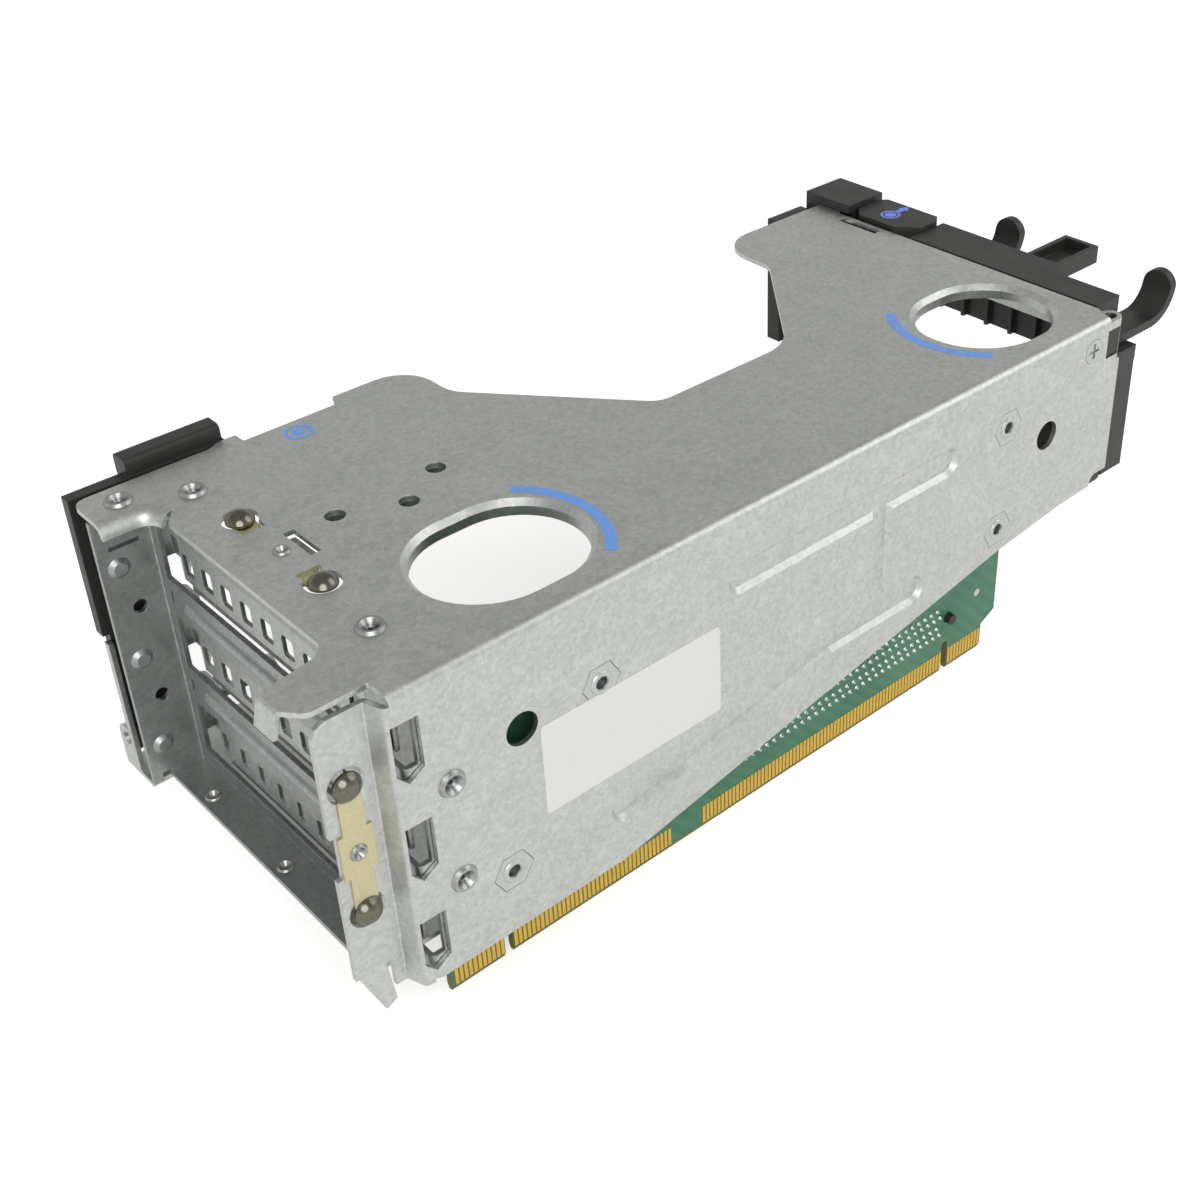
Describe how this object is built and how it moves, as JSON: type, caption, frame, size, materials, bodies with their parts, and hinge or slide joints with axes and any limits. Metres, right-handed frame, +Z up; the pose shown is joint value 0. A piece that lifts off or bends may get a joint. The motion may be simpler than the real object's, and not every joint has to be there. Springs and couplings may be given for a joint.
{
  "type": "riser cage bracket",
  "caption": "Folded sheet-metal riser cage that holds an upright riser board, vented slot covers and a moulded card guide.",
  "frame": {"origin": "on the tip of the board's edge connector, at the middle of the board's thickness and at the first contact's outer edge", "axes": "+X along the board from the card brackets to the card guide, +Y from the side wall towards the open side, +Z up from the connector tip to the top plate"},
  "size_m": [0.2214, 0.0932, 0.0767],
  "materials": {
    "zinc_sheet": "zinc-coated sheet, satin",
    "cover_sheet": "zinc-coated sheet, satin",
    "spring_nickel": "nickel-plated spring bronze",
    "rivet_steel": "plated steel, dull",
    "turned_steel": "turned and plated",
    "board_laminate": "green solder mask",
    "gold_plating": "hard gold over nickel",
    "socket_plastic": "glass-filled, matte",
    "guide_plastic": "moulded, fine texture"
  },
  "bodies": {
    "cage": {"cage_shell": "zinc_sheet", "slot_frame": "zinc_sheet", "floor_plate": "zinc_sheet", "slot_cover_1": "cover_sheet", "slot_cover_2": "cover_sheet", "slot_cover_3": "cover_sheet", "bracket_latch_pin": "turned_steel", "side_spring": "spring_nickel", "top_spring": "spring_nickel", "spring_rivets": "rivet_steel", "frame_rivets": "rivet_steel", "floor_rivets": "rivet_steel", "riser_board": "board_laminate", "edge_contacts": "gold_plating", "card_socket_1": "socket_plastic", "card_socket_2": "socket_plastic", "card_socket_3": "socket_plastic", "board_standoffs": "turned_steel", "board_screws": "turned_steel", "card_guide": "guide_plastic", "guide_screw": "turned_steel", "guide_latch_pin": "turned_steel"},
    "bracket_latch": {"bracket_latch": "guide_plastic"},
    "guide_latch": {"guide_latch": "guide_plastic"},
    "release_tab": {"release_tab": "guide_plastic"}
  },
  "joints": [
    {"name": "bracket_latch_hinge", "type": "hinge", "parent": "cage", "child": "bracket_latch", "pos_m": [0, 0.0798, 0.019], "axis": [-1, 0, 0], "range_deg": [0, 90]},
    {"name": "guide_latch_hinge", "type": "hinge", "parent": "cage", "child": "guide_latch", "pos_m": [0.178, 0.0818, 0.036], "axis": [-1, 0, 0], "range_deg": [0, 90]},
    {"name": "release_tab_slide", "type": "slide", "parent": "cage", "child": "release_tab", "axis": [1, 0, 0], "range_m": [0, 0.002], "stiffness_N_per_m": 150, "springref_m": -0.001}
  ]
}
